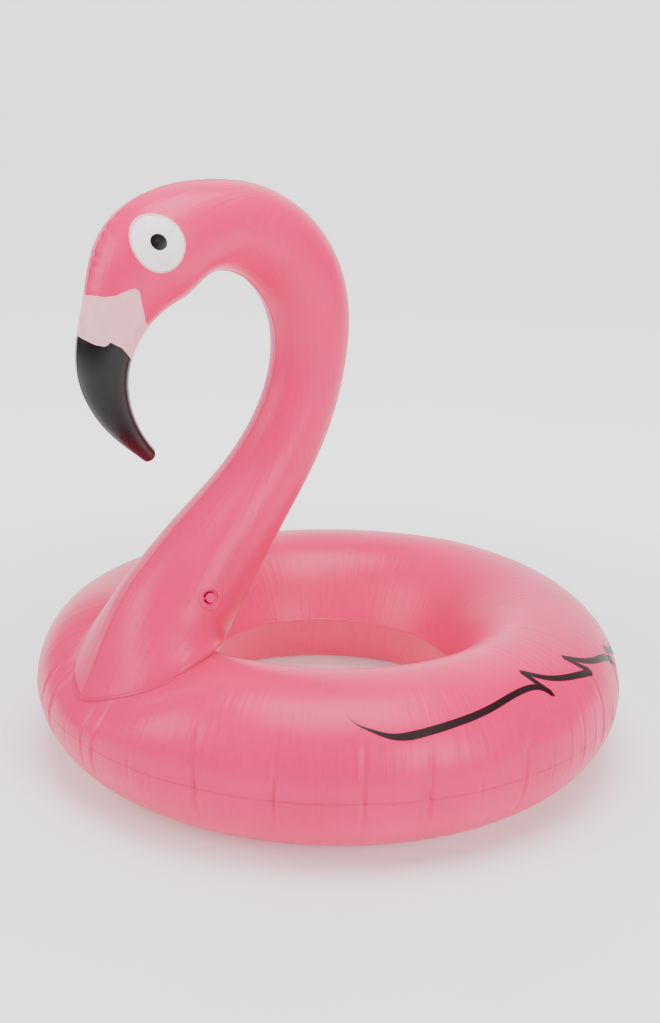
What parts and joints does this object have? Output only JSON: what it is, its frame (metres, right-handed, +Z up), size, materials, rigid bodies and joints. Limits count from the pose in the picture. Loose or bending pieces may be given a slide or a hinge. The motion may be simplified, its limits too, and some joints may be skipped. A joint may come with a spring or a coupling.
{
  "type": "inflatable pool float",
  "caption": "Ring-shaped inflatable swim float of welded vinyl panels with an upright bird neck, curved beak, printed eyes and feather lines, and two pop-out air valves.",
  "frame": {"origin": "on the floor at the centre of the ring", "axes": "+X the way the bird faces, +Y its left side, +Z up"},
  "size_m": [1.1236, 1.1236, 1.062],
  "materials": {
    "pink_vinyl": "satin translucent soft PVC film",
    "pink_weld": "heat-welded PVC seam, slightly glossier than the film",
    "pale_pink_ink": "pale pink printed ink under a satin film",
    "white_ink": "white printed ink",
    "black_ink": "glossy black printed ink",
    "feather_ink": "black printed ink line",
    "valve_vinyl": "translucent pink moulded vinyl"
  },
  "bodies": {
    "float": {"ring_upper_panel": "pink_vinyl", "ring_lower_panel": "pink_vinyl", "neck_left_panel": "pink_vinyl", "neck_right_panel": "pink_vinyl", "ring_outer_seam": "pink_weld", "ring_inner_seam": "pink_weld", "neck_centre_seam": "pink_weld", "neck_base_seam": "pink_weld", "beak_pale_print_left": "pale_pink_ink", "beak_black_print_left": "black_ink", "eye_white_print_left": "white_ink", "eye_pupil_print_left": "black_ink", "feather_print_left": "feather_ink", "beak_pale_print_right": "pale_pink_ink", "beak_black_print_right": "black_ink", "eye_white_print_right": "white_ink", "eye_pupil_print_right": "black_ink", "feather_print_right": "feather_ink", "neck_valve_flange": "valve_vinyl", "neck_valve_boot": "valve_vinyl", "ring_valve_flange": "valve_vinyl", "ring_valve_boot": "valve_vinyl"},
    "neck_valve_stem": {"neck_valve_stem": "valve_vinyl", "neck_valve_tether": "valve_vinyl"},
    "neck_valve_flap": {"neck_valve_flap": "valve_vinyl"},
    "neck_valve_plug": {"neck_valve_plug": "valve_vinyl"},
    "ring_valve_stem": {"ring_valve_stem": "valve_vinyl", "ring_valve_tether": "valve_vinyl"},
    "ring_valve_flap": {"ring_valve_flap": "valve_vinyl"},
    "ring_valve_plug": {"ring_valve_plug": "valve_vinyl"}
  },
  "joints": [
    {"name": "neck_valve_pop_out", "type": "slide", "parent": "float", "child": "neck_valve_stem", "axis": [0.0448, 0.9778, 0.2048], "range_m": [0, 0.014], "deforming": ["neck_valve_boot"]},
    {"name": "neck_valve_flap_swing", "type": "hinge", "parent": "neck_valve_stem", "child": "neck_valve_flap", "pos_m": [0.32094, 0.08137, 0.36252], "axis": [0, 0.205, -0.9788], "range_deg": [0, 60], "stiffness_Nm_per_rad": 0.0001},
    {"name": "neck_valve_plug_pull", "type": "slide", "parent": "neck_valve_stem", "child": "neck_valve_plug", "axis": [0.0448, 0.9778, 0.2048], "range_m": [0, 0.016], "deforming": ["neck_valve_tether"]},
    {"name": "ring_valve_pop_out", "type": "slide", "parent": "float", "child": "ring_valve_stem", "axis": [-0.8005, 0, 0.5993], "range_m": [0, 0.014], "deforming": ["ring_valve_boot"]},
    {"name": "ring_valve_flap_swing", "type": "hinge", "parent": "ring_valve_stem", "child": "ring_valve_flap", "pos_m": [-0.51521, 0.0062, 0.20879], "axis": [0.5993, 0, 0.8005], "range_deg": [0, 60], "stiffness_Nm_per_rad": 0.0001},
    {"name": "ring_valve_plug_pull", "type": "slide", "parent": "ring_valve_stem", "child": "ring_valve_plug", "axis": [-0.8005, 0, 0.5993], "range_m": [0, 0.016], "deforming": ["ring_valve_tether"]}
  ]
}
